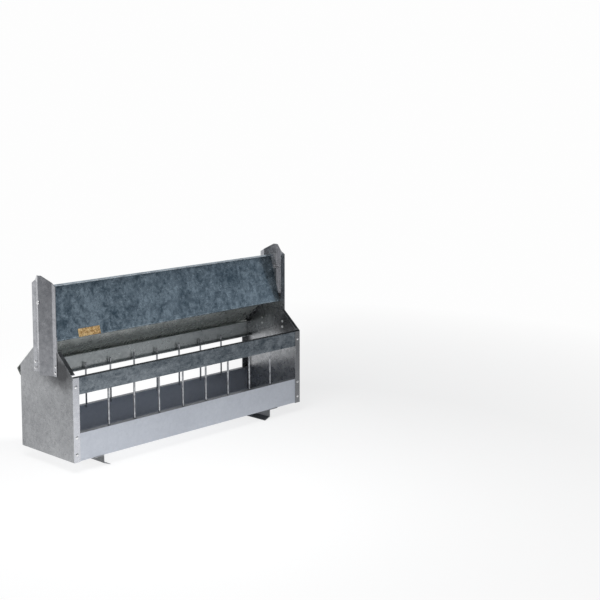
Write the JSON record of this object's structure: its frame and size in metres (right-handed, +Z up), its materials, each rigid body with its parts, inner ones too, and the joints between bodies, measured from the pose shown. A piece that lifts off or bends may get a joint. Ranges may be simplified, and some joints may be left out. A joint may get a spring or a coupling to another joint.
{
  "type": "poultry trough feeder",
  "caption": "Long folded-sheet poultry trough feeder with a pitched roof, wire bars along both feeding sides, and a hinged front lid that leans back against a rod.",
  "frame": {"origin": "on the floor that the feet stand on, midway between the end panels and midway between the front and back of the trough; the fixed roof reaches further out at the back, so the centre of the bounding box is a few millimetres behind it", "axes": "+X along the trough, from the left end to the right end; -Y out of the front, the side whose lid opens; +Z up"},
  "size_m": [0.5254, 0.1517, 0.301],
  "materials": {
    "galvanised_panel": "galvanised, light grey, faint mottle",
    "galvanised_spangle": "galvanised, blue-grey, visible spangle",
    "galvanised_dull": "galvanised, dull dark grey",
    "zinc_wire": "bright zinc-plated wire",
    "rivet_metal": "bright, slightly worn",
    "sticker": "blank golden-yellow film label"
  },
  "bodies": {
    "frame": {"back_bar_1": "zinc_wire", "back_bar_2": "zinc_wire", "back_bar_3": "zinc_wire", "back_bar_4": "zinc_wire", "back_bar_5": "zinc_wire", "back_bar_6": "zinc_wire", "back_bar_7": "zinc_wire", "back_bar_8": "zinc_wire", "back_rail": "galvanised_spangle", "corner_rivets": "rivet_metal", "end_panel_left": "galvanised_panel", "end_panel_right": "galvanised_panel", "foot_left": "galvanised_dull", "foot_right": "galvanised_dull", "foot_rivets": "rivet_metal", "front_bar_1": "zinc_wire", "front_bar_2": "zinc_wire", "front_bar_3": "zinc_wire", "front_bar_4": "zinc_wire", "front_bar_5": "zinc_wire", "front_bar_6": "zinc_wire", "front_bar_7": "zinc_wire", "front_bar_8": "zinc_wire", "front_rail": "galvanised_spangle", "hinge_pin": "zinc_wire", "post_left": "galvanised_panel", "post_right": "galvanised_panel", "post_rivets": "rivet_metal", "roof_rivets": "rivet_metal", "roof_sheet": "galvanised_spangle", "stop_rod": "zinc_wire", "trough_pan": "galvanised_panel"},
    "lid": {"lid": "galvanised_spangle", "label_plate": "sticker"}
  },
  "joints": [
    {"name": "lid_hinge", "type": "hinge", "parent": "frame", "child": "lid", "pos_m": [0, -0.01736, 0.19931], "axis": [1, 0, 0], "range_deg": [0, 146.5]}
  ]
}
